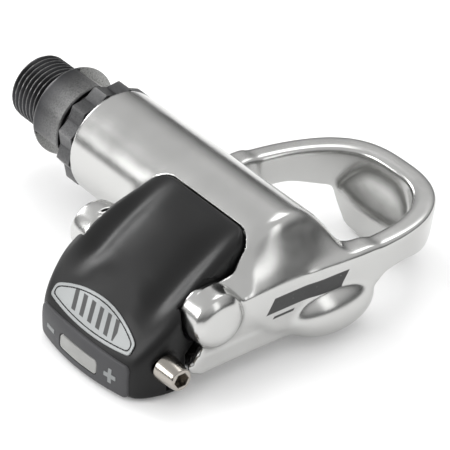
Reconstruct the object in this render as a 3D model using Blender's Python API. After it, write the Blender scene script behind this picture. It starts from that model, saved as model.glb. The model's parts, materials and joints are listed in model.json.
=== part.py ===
"""Clipless road pedal, left side, lying with its platform down.

The axes: +X along the spindle away from the crank, +Y to the pedal's front loop, +Z away from the
platform. The origin is the centre of the spindle's threaded end. Sizes below are in millimetres.
"""

import math

import bmesh
import bpy
from mathutils import Matrix, Vector

MM = 0.001

# Spindle, from the crank end outwards
THREAD_RADIUS = 7.145
THREAD_PITCH = 1.27
THREAD_DEPTH = 0.72
NECK_DEPTH = 0.8  # the thread runs out into a neck, just below its roots
THREAD_END = 11.1
COLLAR_RADIUS = 9.7
COLLAR_END = 20.3
WRENCH_FLATS = 15.0
SEAL_START, SEAL_END = 20.6, 21.4
NUT_START, NUT_END = 21.7, 26.6
NUT_RADIUS = 11.4
NUT_POINTS = 12
JOURNAL_RADIUS = 6.0
SHAFT_RADIUS = 4.2
SEAT_RADIUS = 3.35

# Body
TUBE_RADIUS = 11.3
TUBE_START, TUBE_END = 26.9, 83.1
CENTRE = 66.0  # the pedal's middle plane across the spindle
RIM_TOP = 0.0
DECK_BOTTOM, DECK_TOP = -13.0, -9.6
DECK_REAR = -23.6
FLANK_INNER, FLANK_OUTER = 15.4, 20.2  # half widths from the middle plane
LOOP_CENTRE_Y = 10.0
LOOP_OUTER = (21.8, 32.5)  # half width and reach of the loop's outline
LOOP_INNER = (17.2, 28.0)
LOOP_POWER = 2.5
LIP_REAR, LIP_TOP, LIP_BOTTOM = 34.8, -9.6, -16.6
LIP_OUTER = (15.0, 32.2)

# Claw pivot and latch
PIVOT_Y, PIVOT_Z = -19.0, -1.8
LUG_RADIUS = 5.8
BOSS_RADII = (2.9, 5.0, 5.1)  # the dome on each lug
PIN_RADIUS = 2.0
CLAW_EDGE_RADIUS = 16.5  # the claw's front edge is turned about the pivot
POCKET_GAP = 0.35
POCKET_FLOOR = 8.3
CLAW_FRONT_HALF = 14.5
CLAW_SWING = 1.6  # how far the claw's sides keep off the tube, so that it can open
CLAW_BOTTOM = -17.0
THROAT_REAR, THROAT_TOP, JAW_TOP = -29.0, -13.0, -15.5
CAVITY_HALF = 12.1
WING_BOTTOM = 4.0  # the claw overhangs each lug above this height

# Tension screw, across the back of the claw
SCREW_Y, SCREW_Z = -29.6, -9.5
SCREW_RADIUS = 1.75
SCREW_HEAD = (17.6, 22.8)  # half widths where the head starts and ends
SCREW_SOCKET = 2.5

BADGE_SLOPE = 43.2  # degrees

COLLECTION = "clipless_pedal"
CUTTERS = "cutters"


def clear_scene():
    for item in list(bpy.data.objects):
        bpy.data.objects.remove(item, do_unlink=True)


def collection(name):
    made = bpy.data.collections.new(name)
    bpy.context.scene.collection.children.link(made)
    return made


def material(name, colour, roughness, metallic):
    made = bpy.data.materials.new(name)
    made.use_nodes = True
    shader = made.node_tree.nodes["Principled BSDF"]
    shader.inputs["Base Color"].default_value = (*colour, 1.0)
    shader.inputs["Roughness"].default_value = roughness
    shader.inputs["Metallic"].default_value = metallic
    return made


def make_object(bm, name, look=None, smooth_angle=35):
    """Turn a bmesh, whose coordinates are in millimetres, into an object of the part."""
    bmesh.ops.recalc_face_normals(bm, faces=bm.faces)
    bm.transform(Matrix.Scale(MM, 4))
    mesh = bpy.data.meshes.new(name)
    bm.to_mesh(mesh)
    bm.free()
    mesh.shade_smooth()
    mesh.set_sharp_from_angle(angle=math.radians(smooth_angle))
    made = bpy.data.objects.new(name, mesh)
    home = bpy.data.collections[COLLECTION if look else CUTTERS]
    home.objects.link(made)
    if look:
        mesh.materials.append(look)
    else:
        made.hide_render = True
        made.display_type = "WIRE"
    return made


def turned(name, profile, look=None, segments=48, ring=False, centre=(0.0, 0.0)):
    """A solid turned about a line parallel to X, from (x, radius) points. A ring's profile closes."""
    bm = bmesh.new()
    points = [bm.verts.new((x, 0.0, radius)) for x, radius in profile]
    pairs = list(zip(points, points[1:]))
    if ring:
        pairs.append((points[-1], points[0]))
    edges = [bm.edges.new(pair) for pair in pairs]
    bmesh.ops.spin(bm, geom=points + edges, cent=(0, 0, 0), axis=(1, 0, 0), angle=2 * math.pi,
                   steps=segments, use_merge=True)
    bmesh.ops.remove_doubles(bm, verts=bm.verts, dist=0.0005)
    bmesh.ops.translate(bm, verts=bm.verts, vec=(0.0, *centre))
    return make_object(bm, name, look)


def cylinder(name, start, end, radius, look=None, segments=48, centre=(0.0, 0.0)):
    return turned(name, [(start, 0), (start, radius), (end, radius), (end, 0)], look, segments,
                  centre=centre)


def prism(name, outline, low, high, axis, look=None, bevel=0.0, bevel_segments=2):
    """An outline pushed along X or Z. It holds (y, z) points for X, and (x, y) points for Z."""
    bm = bmesh.new()
    if axis == "X":
        corners = [bm.verts.new((low, y, z)) for y, z in outline]
        push = Vector((high - low, 0, 0))
    else:
        corners = [bm.verts.new((x, y, low)) for x, y in outline]
        push = Vector((0, 0, high - low))
    face = bm.faces.new(corners)
    grown = bmesh.ops.extrude_face_region(bm, geom=[face])
    moved = [v for v in grown["geom"] if isinstance(v, bmesh.types.BMVert)]
    bmesh.ops.translate(bm, verts=moved, vec=push)
    if bevel:
        bmesh.ops.recalc_face_normals(bm, faces=bm.faces)
        sharp = [e for e in bm.edges if e.calc_face_angle(0) > math.radians(50)]
        bmesh.ops.bevel(bm, geom=sharp, offset=bevel, segments=bevel_segments, profile=0.5,
                        affect="EDGES", clamp_overlap=True)
    return make_object(bm, name, look)


def box(name, low, high, look=None, bevel=0.0):
    outline = [(low[0], low[1]), (high[0], low[1]), (high[0], high[1]), (low[0], high[1])]
    return prism(name, outline, low[2], high[2], "Z", look, bevel)


def ellipsoid(name, centre, radii, look=None, segments=24):
    bm = bmesh.new()
    bmesh.ops.create_uvsphere(bm, u_segments=segments, v_segments=segments // 2, radius=1.0)
    bm.transform(Matrix.Translation(centre) @ Matrix.Diagonal((*radii, 1.0)))
    return make_object(bm, name, look)


def boolean(target, tool, operation="DIFFERENCE"):
    step = target.modifiers.new(f"{operation.lower()} {tool.name}", "BOOLEAN")
    step.operation = operation
    step.solver = "EXACT"
    step.object = tool


def arc(centre, radius, start, end, steps):
    """Points along an arc, with its angles in degrees."""
    turns = [math.radians(start + (end - start) * i / steps) for i in range(steps + 1)]
    return [(centre[0] + radius * math.cos(t), centre[1] + radius * math.sin(t)) for t in turns]


def loop_curve(half_width, reach, low_y, steps):
    """The loop's rounded outline from +X round its nose to -X, as far back as low_y."""
    start = math.asin(((low_y - LOOP_CENTRE_Y) / reach) ** (LOOP_POWER / 2))
    points = []
    for i in range(steps + 1):
        turn = start + (math.pi - 2 * start) * i / steps
        side = math.copysign(abs(math.cos(turn)) ** (2 / LOOP_POWER), math.cos(turn))
        ahead = math.sin(turn) ** (2 / LOOP_POWER)
        points.append((CENTRE + half_width * side, LOOP_CENTRE_Y + reach * ahead))
    return points


# ---------------------------------------------------------------- body


def loop_ring():
    back = LOOP_CENTRE_Y - 3
    outer = [(CENTRE + LOOP_OUTER[0], back)]
    outer += loop_curve(*LOOP_OUTER, LOOP_CENTRE_Y, 36)
    outer.append((CENTRE - LOOP_OUTER[0], back))
    inner = [(CENTRE - LOOP_INNER[0], back)]
    inner += reversed(loop_curve(*LOOP_INNER, LOOP_CENTRE_Y, 30))
    inner.append((CENTRE + LOOP_INNER[0], back))
    return prism("loop_ring", outer + inner, DECK_BOTTOM + 0.6, RIM_TOP, "Z", bevel=0.7)


def nose_lip():
    outline = loop_curve(*LIP_OUTER, LIP_REAR, 16)
    return prism("nose_lip", outline, LIP_BOTTOM, LIP_TOP, "Z", bevel=1.6, bevel_segments=3)


def flank(side):
    """The beam down one side, from the loop's arm to the claw's pivot lug."""
    lug = arc((PIVOT_Y, PIVOT_Z), LUG_RADIUS, 62, 275, 18)
    outline = [(16.0, RIM_TOP), (-12.6, RIM_TOP + 0.6)] + lug
    outline += [(-17.2, -9.6), (-21.6, -10.6), (-23.0, -11.6), (-23.0, DECK_BOTTOM)]
    outline += [(16.0, DECK_BOTTOM)]
    ends = sorted((CENTRE + side * FLANK_INNER, CENTRE + side * FLANK_OUTER))
    return prism(f"flank {side:+d}", outline, *ends, "X", bevel=0.8)


def deck():
    wide, narrow = FLANK_OUTER - 0.8, 15.0
    outline = [(CENTRE + wide, DECK_REAR + 1), (CENTRE + wide, 12.0), (CENTRE + narrow, 13.0)]
    outline += [(CENTRE - narrow, 13.0), (CENTRE - wide, 12.0), (CENTRE - wide, DECK_REAR + 1)]
    outline += [(CENTRE - narrow, DECK_REAR), (CENTRE + narrow, DECK_REAR)]
    return prism("deck", outline, DECK_BOTTOM, DECK_TOP, "Z")


def pocket_cutter():
    """The room that the claw's front edge swings through, in the tube's back."""
    half = CLAW_FRONT_HALF + POCKET_GAP
    cutter = cylinder("pocket", CENTRE - half, CENTRE + half, CLAW_EDGE_RADIUS + POCKET_GAP,
                      segments=96, centre=(PIVOT_Y, PIVOT_Z))
    boolean(cutter, cylinder("pocket floor", TUBE_START, TUBE_END + 5, POCKET_FLOOR))
    boolean(cutter, box("pocket end", (30, -60, -60), (100, 20, -3.5)))
    return cutter


def bore_cutter():
    profile = [(TUBE_START - 1, 0), (TUBE_START - 1, 9.5), (46.0, 9.5), (48.0, 7.15), (81.2, 7.15),
               (81.2, 0)]
    return turned("bore", profile)


def pedal_body(look):
    profile = [(TUBE_START, 0), (TUBE_START, TUBE_RADIUS - 0.4), (TUBE_START + 0.4, TUBE_RADIUS),
               (TUBE_END - 3.0, TUBE_RADIUS), (TUBE_END - 1.0, TUBE_RADIUS - 0.9),
               (TUBE_END, TUBE_RADIUS - 2.8), (TUBE_END, 0)]
    body = turned("pedal_body", profile, look, segments=64)
    for tool in (deck(), flank(1), flank(-1), loop_ring(), nose_lip()):
        boolean(body, tool, "UNION")
    for side in (1, -1):
        bulge = ellipsoid(f"pontoon {side:+d}", (CENTRE + side * 19.6, 6.6, -8.6), (4.6, 9.0, 4.4))
        boolean(body, bulge, "UNION")
        middle = (CENTRE + side * 18.6, PIVOT_Y, PIVOT_Z)
        dome = ellipsoid(f"boss {side:+d}", middle, BOSS_RADII, segments=20)
        boolean(body, dome, "UNION")
    boolean(body, bore_cutter())
    boolean(body, pocket_cutter())
    pin = (PIVOT_Y, PIVOT_Z)
    boolean(body, cylinder("pin hole", CENTRE - 30, CENTRE + 18.6, PIN_RADIUS + 0.3, segments=28,
                           centre=pin))
    boolean(body, cylinder("pin head room", CENTRE - 30, CENTRE - 18.6, 3.5, segments=28, centre=pin))
    return body


# ---------------------------------------------------------------- spindle and bearings


def thread_height(x, angle):
    """How far below the crest a left-hand thread's surface lies, at one place along and round it."""
    phase = (x / THREAD_PITCH + angle / (2 * math.pi)) % 1.0
    wave = min(max(1.35 * abs(2 * phase - 1) - 0.15, 0.0), 1.0)
    runout = min(max((THREAD_END - 1.3 - x) / 0.8, 0.0), 1.0)
    chamfer = max(0.0, 0.8 - x)
    return max(THREAD_DEPTH * (1 - wave) * runout, chamfer) + (1 - runout) * NECK_DEPTH


def cut_thread(spindle):
    for vertex in spindle.data.vertices:
        x, y, z = (c / MM for c in vertex.co)
        radius = math.hypot(y, z)
        if x < THREAD_END - 0.1 and radius > THREAD_RADIUS - 0.1:
            keep = (radius - thread_height(x, math.atan2(z, y))) / radius
            vertex.co = Vector((x, y * keep, z * keep)) * MM


def spindle(look):
    rows = 34
    step = (THREAD_END - 0.3) / rows
    profile = [(0, 0)] + [(i * step, THREAD_RADIUS) for i in range(rows + 1)]
    profile += [(THREAD_END, THREAD_RADIUS - THREAD_DEPTH), (THREAD_END, COLLAR_RADIUS - 0.9),
                (THREAD_END + 0.9, COLLAR_RADIUS), (COLLAR_END - 0.3, COLLAR_RADIUS),
                (COLLAR_END, COLLAR_RADIUS - 0.3), (COLLAR_END, 7.0), (32.0, 7.0),
                (32.5, JOURNAL_RADIUS), (46.5, JOURNAL_RADIUS), (50.0, SHAFT_RADIUS),
                (65.7, SHAFT_RADIUS), (65.7, SEAT_RADIUS), (77.4, SEAT_RADIUS), (77.4, 3.0),
                (80.3, 3.0), (80.6, 2.7), (80.6, 0)]
    made = turned("spindle", profile, look, segments=32)
    cut_thread(made)
    for side in (1, -1):
        low, high = sorted((side * WRENCH_FLATS / 2, side * (COLLAR_RADIUS + 1)))
        flat = box(f"wrench flat {side:+d}", (THREAD_END + 1.2, low, -12), (COLLAR_END + 0.2, high, 12))
        flat.matrix_world = Matrix.Rotation(math.radians(45), 4, "X")
        boolean(made, flat)
    return made


def lock_nut(look):
    """A ring with twelve points, and the spigot that screws into the tube."""
    outline = []
    for i in range(2 * NUT_POINTS):
        radius = NUT_RADIUS if i % 2 == 0 else NUT_RADIUS - 1.1
        turn = math.pi * (i + 0.5) / NUT_POINTS
        outline.append((radius * math.cos(turn), radius * math.sin(turn)))
    nut = prism("lock_nut", outline, NUT_START, NUT_END, "X", look)
    dress = turned("nut dressing", [(NUT_START - 1, 9.4), (NUT_START - 1, 14), (NUT_START + 2, 14)],
                   segments=36, ring=True)
    boolean(nut, dress)
    spigot = cylinder("nut spigot", NUT_END - 1, 32.4, 9.2, segments=40)
    boolean(nut, spigot, "UNION")
    boolean(nut, cylinder("nut bore", NUT_START - 1, 33.4, 7.5, segments=32))
    return nut


def ring(name, start, end, inner, outer, look, segments=32, centre=(0.0, 0.0)):
    profile = [(start, inner), (start, outer), (end, outer), (end, inner)]
    return turned(name, profile, look, segments, ring=True, centre=centre)


def grooved_ring(name, start, end, bore, land, groove, look):
    """A ball race, whose groove dips from its land into a shallow V."""
    middle = (start + end) / 2
    profile = [(start, bore), (start, land), (middle - 0.9, land), (middle - 0.4, groove),
               (middle + 0.4, groove), (middle + 0.9, land), (end, land), (end, bore)]
    return turned(name, profile, look, 28, ring=True)


def ball_cage(name, middle, look):
    cage = ring(name, middle - 0.55, middle + 0.55, 5.0, 5.5, look, segments=25)
    for i in range(7):
        turn = 2 * math.pi * i / 7
        ball = ellipsoid(f"{name} ball {i}", (middle, 5.25 * math.cos(turn), 5.25 * math.sin(turn)),
                         (0.78, 0.78, 0.78), segments=8)
        boolean(cage, ball, "UNION")
    return cage


def needle_cage(look):
    cage = ring("needle_cage", 34.0, 44.0, 6.95, 7.35, look, segments=48)
    for i in range(10):
        turn = 2 * math.pi * (i + 0.37) / 10
        at = (7.15 * math.cos(turn), 7.15 * math.sin(turn))
        roller = cylinder(f"roller {i}", 34.6, 43.4, 0.9, segments=12, centre=at)
        boolean(cage, roller, "UNION")
    return cage


def bearings(steel, polished, brass):
    ring("needle_shell", 33.2, 44.8, 8.3, 9.35, steel)
    needle_cage(brass)
    for letter, start in (("a", 66.0), ("b", 71.6)):
        grooved_ring(f"race_inner_{letter}", start, start + 5, 3.5, 4.75, 4.3, polished)
        grooved_ring(f"race_outer_{letter}", start, start + 5, 7.0, 5.75, 6.2, polished)
        ball_cage(f"ball_cage_{letter}", start + 2.5, brass)


def spindle_end_nut(look):
    outline = arc((0, 0), 4.6, 0, 300, 5)
    nut = prism("spindle_end_nut", outline, 77.9, 80.2, "X", look)
    boolean(nut, cylinder("end nut bore", 77, 81, 3.2, segments=24))
    return nut


# ---------------------------------------------------------------- claw


def claw_side_outline():
    """The claw from the side, as (y, z): its roof, its back, the jaw, and the wall's lower edge."""
    roof = [(-5.6, 10.45), (-9.0, 9.6), (-13.5, 8.0), (-19.0, 5.3), (-24.5, 1.6), (-29.0, -2.7),
            (-33.0, -6.3), (-35.6, -8.9)]
    back = [(-37.0, -11.2), (-37.2, -13.6), (-36.4, -15.8), (-34.8, CLAW_BOTTOM)]
    jaw = [(-25.9, CLAW_BOTTOM), (-25.2, -16.3), (-25.4, JAW_TOP), (THROAT_REAR, JAW_TOP),
           (THROAT_REAR, THROAT_TOP)]
    wall = [(-24.4, THROAT_TOP), (-24.4, -9.0), (-21.0, -8.4), (-15.2, -8.3), (-12.6, -4.0),
            (-11.0, 0.0), (-6.0, 5.0)]
    return roof + back + jaw + wall


def back_depth(half):
    """How far back the claw's rounded rear reaches, at one half width."""
    return -37.3 + 0.009 * half * half


def claw_plan_outline():
    """The claw from above: narrow between the lugs, wide and rounded behind them."""
    right = [(CLAW_FRONT_HALF, -4.0), (CLAW_FRONT_HALF, -11.4), (15.4, -13.4), (16.8, -19.0),
             (18.6, -23.5), (18.8, -27.0), (18.0, -30.4), (16.4, -33.2)]
    right += [(half, back_depth(half)) for half in (13.8, 10.5, 7.0, 3.5)]
    left = [(-x, y) for x, y in reversed(right)]
    return [(CENTRE + x, y) for x, y in right + [(0.0, back_depth(0))] + left]


def cavity_outline():
    """The room under the claw's roof, for the springs and the tension nut, as (y, z)."""
    roof = [(-7.0, 6.0), (-9.4, 8.0), (-13.2, 6.5), (-18.4, 3.9), (-23.6, 0.4), (-28.2, -4.0),
            (-31.8, -7.4)]
    back = [(-34.0, -10.0), (-34.4, -12.0), (-34.2, -13.9)]
    front = [(-30.8, -13.9), (-30.6, -12.2), (-23.0, -12.2), (-23.0, -20.0), (0.0, -20.0), (0.0, 0.0)]
    return roof + back + front


def claw_shell(look):
    shell = prism("claw_shell", claw_side_outline(), CENTRE - 22, CENTRE + 22, "X", look)
    plan = prism("claw plan", claw_plan_outline(), -30, 30, "Z")
    boolean(shell, plan, "INTERSECT")
    pin = (PIVOT_Y, PIVOT_Z)
    edge = turned("claw front", [(30, CLAW_EDGE_RADIUS), (30, 60), (100, 60), (100, CLAW_EDGE_RADIUS)],
                  segments=96, ring=True, centre=pin)
    front_only = box("claw front half", (20, -16, -60), (110, 60, 60))
    boolean(edge, front_only, "INTERSECT")
    boolean(shell, edge)
    boolean(shell, cylinder("tube room", 30, 100, POCKET_FLOOR + 2.25, segments=64))
    for side in (1, -1):
        low, high = sorted((CENTRE + side * (CLAW_FRONT_HALF + 0.1), CENTRE + side * 30))
        side_room = cylinder(f"tube side room {side:+d}", low, high, TUBE_RADIUS + CLAW_SWING, segments=64)
        boolean(shell, side_room)
        low, high = sorted((CENTRE + side * 15.1, CENTRE + side * 30))
        boolean(shell, cylinder(f"lug room {side:+d}", low, high, LUG_RADIUS + 0.4, centre=pin))
        low_room = [(-16.0, -4.0), (-16.0, -20.0), (-24.0, -20.0), (-24.0, -9.0), (-23.0, -8.0)]
        boolean(shell, prism(f"flank room {side:+d}", low_room, low, high, "X"))
        low, high = sorted((CENTRE + side * 15.25, CENTRE + side * 29))
        wing_room = box(f"wing room {side:+d}", (low, PIVOT_Y + 0.3, -19.0), (high, -1.0, WING_BOTTOM))
        boolean(shell, wing_room)
    boolean(shell, prism("cavity", cavity_outline(), CENTRE - CAVITY_HALF, CENTRE + CAVITY_HALF, "X"))
    boolean(shell, cylinder("bushing room", CENTRE - 16, CENTRE + 16, 3.3, segments=28, centre=pin))
    screw = (SCREW_Y, SCREW_Z)
    boolean(shell, cylinder("screw room", CENTRE - 14.8, CENTRE + 30, SCREW_RADIUS + 0.25,
                            segments=24, centre=screw))
    head_room = cylinder("screw head room", CENTRE + SCREW_HEAD[0] - 0.3, CENTRE + 30, 3.25, segments=28,
                         centre=screw)
    boolean(shell, head_room)
    window = box("window room", (CENTRE - 6.6, -45, -15.2), (CENTRE + 6.6, -33, -11.4))
    boolean(shell, window)
    return shell


def back_point(half, depth):
    """A point on the claw's rounded back in plan, depth outside the shell."""
    return (CENTRE + half, back_depth(half) - depth)


def back_strip(name, half, low, high, inside, outside, look, steps=8):
    """A strip bent round the claw's back, between two heights."""
    places = [half * (2 * i / steps - 1) for i in range(steps + 1)]
    outline = [back_point(x, outside) for x in places]
    outline += [back_point(x, inside) for x in reversed(places)]
    return prism(name, outline, low, high, "Z", look)


def claw_fittings(grey, clear, silver, steel, bronze):
    bezel = back_strip("indicator_bezel", 14.2, -16.4, -9.4, 0.35, 1.0, grey)
    boolean(bezel, box("bezel window", (CENTRE - 6.2, -45, -14.9), (CENTRE + 6.2, -30, -11.7)))
    back_strip("indicator_window", 5.9, -14.6, -12.0, -0.8, 0.2, clear)
    box("jaw_plate", (CENTRE - 12, THROAT_REAR + 0.3, JAW_TOP + 0.15), (CENTRE + 12, -25.6, JAW_TOP + 0.6),
        steel)
    for name, side in (("pivot_bushing_inner", -1), ("pivot_bushing_outer", 1)):
        ends = sorted((CENTRE + side * 12.2, CENTRE + side * 14.9))
        ring(name, *ends, PIN_RADIUS + 0.2, 3.05, bronze, 24, (PIVOT_Y, PIVOT_Z))
    badge(silver)


def badge(look):
    """A thin lens-shaped plate on the slope above the bezel."""
    outline = arc((0, -23.0), 26.0, 59, 121, 12) + arc((0, 56.7), 60.0, 257.1, 282.9, 8)
    plate = prism("badge", outline, 0.0, 0.4, "Z", look)
    lift = Matrix.Translation(Vector((CENTRE, -32.5, -5.5)) * MM)
    plate.matrix_world = lift @ Matrix.Rotation(math.radians(BADGE_SLOPE), 4, "X")
    return plate


# ---------------------------------------------------------------- pin, springs and tension screw


def pivot_pin(look):
    profile = [(CENTRE - 19.9, 0), (CENTRE - 19.9, 3.0), (CENTRE - 19.0, 3.0), (CENTRE - 19.0, PIN_RADIUS),
               (CENTRE + 18.2, PIN_RADIUS), (CENTRE + 18.2, 0)]
    pin = turned("pivot_pin", profile, look, 24, centre=(PIVOT_Y, PIVOT_Z))
    slot = box("pin slot", (CENTRE - 21, PIVOT_Y - 4, PIVOT_Z - 0.4),
               (CENTRE - 19.5, PIVOT_Y + 4, PIVOT_Z + 0.4))
    boolean(pin, slot)
    return pin


def torsion_spring(name, side, look):
    """A torsion spring on the pin: a leg to the tension nut, its coils, and a leg to the deck."""
    coil, pitch, turns, per_turn = 3.7, 1.75, 5, 10
    points = [(2.6, -7.0, -4.4), (2.6, -3.0, -3.8)]
    for i in range(turns * per_turn + 1):
        turn = -math.pi / 2 + 2 * math.pi * i / per_turn
        points.append((2.6 + pitch * i / per_turn, coil * math.cos(turn), coil * math.sin(turn)))
    points += [(11.35, 3.0, -4.2), (11.35, 7.2, -6.0)]
    data = bpy.data.curves.new(name, "CURVE")
    data.dimensions = "3D"
    data.bevel_depth = 0.65 * MM
    data.bevel_resolution = 1
    data.use_fill_caps = True
    line = data.splines.new("POLY")
    line.points.add(len(points) - 1)
    for spot, (x, y, z) in zip(line.points, points):
        spot.co = ((CENTRE + side * x) * MM, (PIVOT_Y + y) * MM, (PIVOT_Z + z) * MM, 1.0)
    made = bpy.data.objects.new(name, data)
    bpy.data.collections[COLLECTION].objects.link(made)
    data.materials.append(look)
    return made


def tension_screw(look):
    start, end = (CENTRE + half for half in SCREW_HEAD)
    at = (SCREW_Y, SCREW_Z)
    profile = [(CENTRE - 14.4, 0), (CENTRE - 14.4, SCREW_RADIUS - 0.3),
               (CENTRE - 14.1, SCREW_RADIUS), (start, SCREW_RADIUS), (start, 2.8), (start + 0.8, 2.8),
               (end - 0.3, 2.05), (end, 1.8), (end, 0)]
    screw = turned("tension_screw", profile, look, 32, centre=at)
    socket = arc(at, SCREW_SOCKET / math.sqrt(3), 0, 300, 5)
    boolean(screw, prism("screw socket", socket, end - 2.6, end + 1, "X"))
    return screw


def tension_nut(look):
    """The block that the screw moves along, with the flag that shows behind the window."""
    low, high = CENTRE - 6.2, CENTRE + 6.2
    shelf = [(-27.6, -7.9), (-24.9, -7.9), (-24.9, -11.95), (-30.9, -11.95)]
    flag = [(-31.2, -13.5), (-33.9, -13.6), (-33.9, -11.0), (-32.4, -8.6), (-31.0, -7.5)]
    nut = prism("tension_nut", [(-30.3, -6.8), (-28.0, -6.8)] + shelf + flag, low, high, "X", look)
    boolean(nut, cylinder("nut thread", low - 1, high + 1, SCREW_RADIUS + 0.2, segments=24,
                          centre=(SCREW_Y, SCREW_Z)))
    return nut


def build():
    clear_scene()
    collection(COLLECTION)
    collection(CUTTERS)
    polished = material("polished aluminium", (0.80, 0.80, 0.79), 0.18, 1.0)
    black_steel = material("black steel", (0.03, 0.03, 0.032), 0.38, 0.9)
    dark_alloy = material("black anodised alloy", (0.02, 0.02, 0.022), 0.32, 0.8)
    rubber = material("black rubber", (0.012, 0.012, 0.012), 0.75, 0.0)
    black_nylon = material("black composite", (0.018, 0.018, 0.02), 0.42, 0.0)
    grey_nylon = material("dark grey composite", (0.07, 0.07, 0.075), 0.5, 0.0)
    clear = material("clear plastic", (0.55, 0.55, 0.55), 0.1, 0.0)
    silver = material("silver foil", (0.62, 0.64, 0.64), 0.35, 0.6)
    steel = material("bright steel", (0.55, 0.53, 0.50), 0.3, 1.0)
    bronze = material("bronze", (0.55, 0.36, 0.16), 0.4, 1.0)
    spring_steel = material("spring steel", (0.25, 0.25, 0.26), 0.35, 1.0)
    pedal_body(polished)
    spindle(black_steel)
    ring("dust_seal", SEAL_START, SEAL_END, 7.3, 8.9, rubber)
    lock_nut(dark_alloy)
    bearings(steel, steel, bronze)
    spindle_end_nut(steel)
    ring("end_washer", 77.0, 77.6, 3.6, 4.6, steel, 28)
    claw_shell(black_nylon)
    claw_fittings(grey_nylon, clear, silver, steel, bronze)
    pivot_pin(steel)
    torsion_spring("torsion_spring_outer", 1, spring_steel)
    torsion_spring("torsion_spring_inner", -1, spring_steel)
    ring("spring_spacer", CENTRE - 1.6, CENTRE + 1.6, PIN_RADIUS + 0.3, 4.3, grey_nylon, 24,
         (PIVOT_Y, PIVOT_Z))
    tension_screw(steel)
    tension_nut(silver)
    ring("screw_clip", CENTRE + 10.9, CENTRE + 11.7, SCREW_RADIUS + 0.2, 2.45, steel, 20,
         (SCREW_Y, SCREW_Z))


build()
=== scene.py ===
"""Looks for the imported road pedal: a polished body, a moulded claw and finer spindle parts.

Lengths are in millimetres, in the frame's axes: +X along the spindle, +Y to the front loop, +Z away
from the platform. A field is a function of x, y and z that is below zero inside a shape, and close
to a distance near its surface. Each field is turned into a mesh, whose points are then moved on to
the surface exactly.
"""

import json
import math

import bpy
import numpy as np
import openvdb
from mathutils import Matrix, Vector


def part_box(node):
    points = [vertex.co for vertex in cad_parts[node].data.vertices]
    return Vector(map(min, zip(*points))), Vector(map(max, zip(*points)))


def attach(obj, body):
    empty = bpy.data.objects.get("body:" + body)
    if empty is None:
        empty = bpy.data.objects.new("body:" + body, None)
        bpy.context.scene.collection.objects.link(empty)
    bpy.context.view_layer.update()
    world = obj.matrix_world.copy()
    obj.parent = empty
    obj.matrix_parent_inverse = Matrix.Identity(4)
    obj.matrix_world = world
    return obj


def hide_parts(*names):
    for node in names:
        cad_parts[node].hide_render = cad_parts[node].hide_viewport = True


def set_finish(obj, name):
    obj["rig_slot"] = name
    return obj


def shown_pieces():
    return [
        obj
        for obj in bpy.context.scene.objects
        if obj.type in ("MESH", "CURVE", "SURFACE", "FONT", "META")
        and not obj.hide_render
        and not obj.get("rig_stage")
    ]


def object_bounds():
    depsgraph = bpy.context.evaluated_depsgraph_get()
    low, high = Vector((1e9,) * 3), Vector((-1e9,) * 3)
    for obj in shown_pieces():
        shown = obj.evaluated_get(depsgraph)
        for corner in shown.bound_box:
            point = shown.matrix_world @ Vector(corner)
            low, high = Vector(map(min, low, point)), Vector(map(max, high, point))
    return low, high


MM = 0.001

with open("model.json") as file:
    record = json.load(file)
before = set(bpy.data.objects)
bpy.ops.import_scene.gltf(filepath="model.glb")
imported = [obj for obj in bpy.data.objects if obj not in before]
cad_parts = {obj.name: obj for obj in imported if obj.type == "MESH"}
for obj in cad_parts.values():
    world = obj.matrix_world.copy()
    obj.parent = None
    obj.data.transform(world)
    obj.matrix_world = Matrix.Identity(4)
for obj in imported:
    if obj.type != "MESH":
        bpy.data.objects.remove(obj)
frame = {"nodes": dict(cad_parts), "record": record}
cad_low, cad_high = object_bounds()


def low(node):
    """The lowest corner of a CAD node, in millimetres."""
    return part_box(node)[0] / MM


def high(node):
    """The highest corner of a CAD node, in millimetres."""
    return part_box(node)[1] / MM


BODY_SPACING = 0.42
CLAW_SPACING = 0.3
MARGIN = Vector((1.2, 1.2, 1.2))  # searched around a CAD box for a field's surface

# Tube and its bore
TUBE_START, TUBE_END = low("pedal_body").x, 86.2
TUBE_RADIUS = high("pedal_body").z
BORE_WIDE, BORE_NARROW = 9.5, 7.15
BORE_STEP, BORE_STEP_LENGTH, BORE_END = 46.0, 2.0, 81.2

# Flanks, as half widths from the pedal's middle plane
CENTRE = (low("claw_shell").x + high("claw_shell").x) / 2
RIM_TOP = 0.0
FLANK_INNER, FLANK_REAR_HALF, FLANK_FRONT_HALF = 15.4, 20.3, 20.8
FLANK_FRONT, FLANK_BACK, TAIL_LENGTH = 18.0, 23.5, 1.5  # the tail lies outside the claw's side
FLANK_DRAFT = 1.0  # how much narrower its face is at the bottom
SLOPE_FOOT, SLOPE_RUN = 20.7, 4.9  # the half width where the slope to the tube starts, and its run
WEB_HEIGHT = 3.2  # of the slope beside the claw
TUBE_RISE, TUBE_SPREAD = 8.1, 9.5  # how much higher it is at the spindle, and over what width
CHEEK_RISE, CHEEK_SPREAD = 2.2, 8.0
CLAW_SIDE = 17.7
CLAW_NOTCH = [(-30, -9.2), (-22.8, -9.2), (-21.0, -8.2), (-17.0, -6.0), (-20.0, 0.0), (-24.5, 4.0),
              (-30, 4.0)]
REAR_NOTCH = [(-30, -10.6), (-24.2, -10.2), (-22.0, -7.0), (-22.0, 4.0), (-30, 4.0)]
PONTOON_MIDDLE, PONTOON_RADII = (18.4, 8.6, -10.6), (5.8, 10.6, 6.0)

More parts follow.
